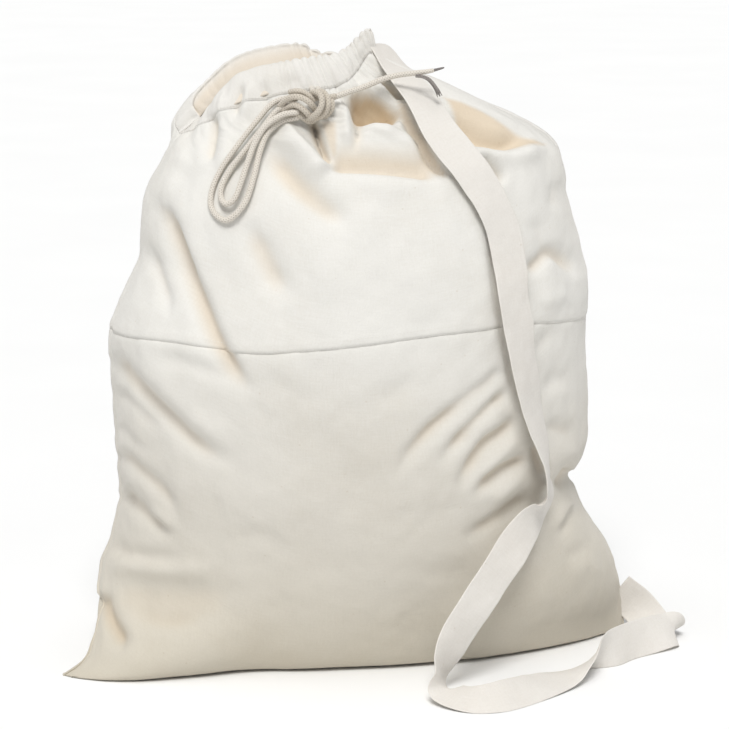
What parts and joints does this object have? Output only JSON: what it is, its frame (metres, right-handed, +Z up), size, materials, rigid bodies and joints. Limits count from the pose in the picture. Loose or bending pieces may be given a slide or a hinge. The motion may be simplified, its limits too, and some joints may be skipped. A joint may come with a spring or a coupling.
{
  "type": "laundry bag",
  "caption": "Natural cotton drawstring laundry bag, standing full, with a gathered hem mouth, a drawcord tied in a bow and a flat strap sewn from the mouth to the lower side seam.",
  "frame": {"origin": "on the floor under the middle of the bag, on the front half of its flat base", "axes": "+Z up to the gathered mouth, +X towards the side that carries the strap, -Y out of the front"},
  "size_m": [0.6404, 0.3784, 0.628],
  "materials": {
    "cotton_cloth": "matte",
    "cotton_tape": "matte",
    "cotton_cord": "matte",
    "cord_tip": "matte"
  },
  "bodies": {
    "root": {"front_lower_panel": "cotton_cloth", "back_lower_panel": "cotton_cloth", "front_upper_panel": "cotton_cloth", "back_upper_panel": "cotton_cloth", "mouth_casing_front": "cotton_cloth", "mouth_casing_back": "cotton_cloth", "drawcord_channel_run": "cotton_cord", "strap_upper_end": "cotton_tape", "strap_lower_end": "cotton_tape"},
    "strap": {"shoulder_strap": "cotton_tape"},
    "drawcord": {"drawcord_knot": "cotton_cord", "drawcord_exit_strands": "cotton_cord"},
    "bow": {"drawcord_bow_outer": "cotton_cord", "drawcord_bow_inner": "cotton_cord"},
    "tail": {"drawcord_tail": "cotton_cord", "drawcord_tail_tip": "cord_tip", "drawcord_frayed_end": "cord_tip"}
  },
  "joints": [
    {"name": "strap_swing", "type": "hinge", "parent": "root", "child": "strap", "pos_m": [0.29, 0.012, 0.04], "axis": [-0.4217, -0.022, 0.9064], "range_deg": [0, 45]},
    {"name": "drawcord_pull", "type": "slide", "parent": "root", "child": "drawcord", "axis": [0, -1, 0], "range_m": [0, 0.03]},
    {"name": "bow_lift", "type": "hinge", "parent": "drawcord", "child": "bow", "pos_m": [-0.0452, -0.0725, 0.5585], "axis": [-0.7369, 0, 0.676], "range_deg": [0, 80]},
    {"name": "tail_lift", "type": "hinge", "parent": "drawcord", "child": "tail", "pos_m": [-0.0452, -0.0725, 0.5585], "axis": [0.144, -0.6997, -0.6997], "range_deg": [0, 60]}
  ]
}
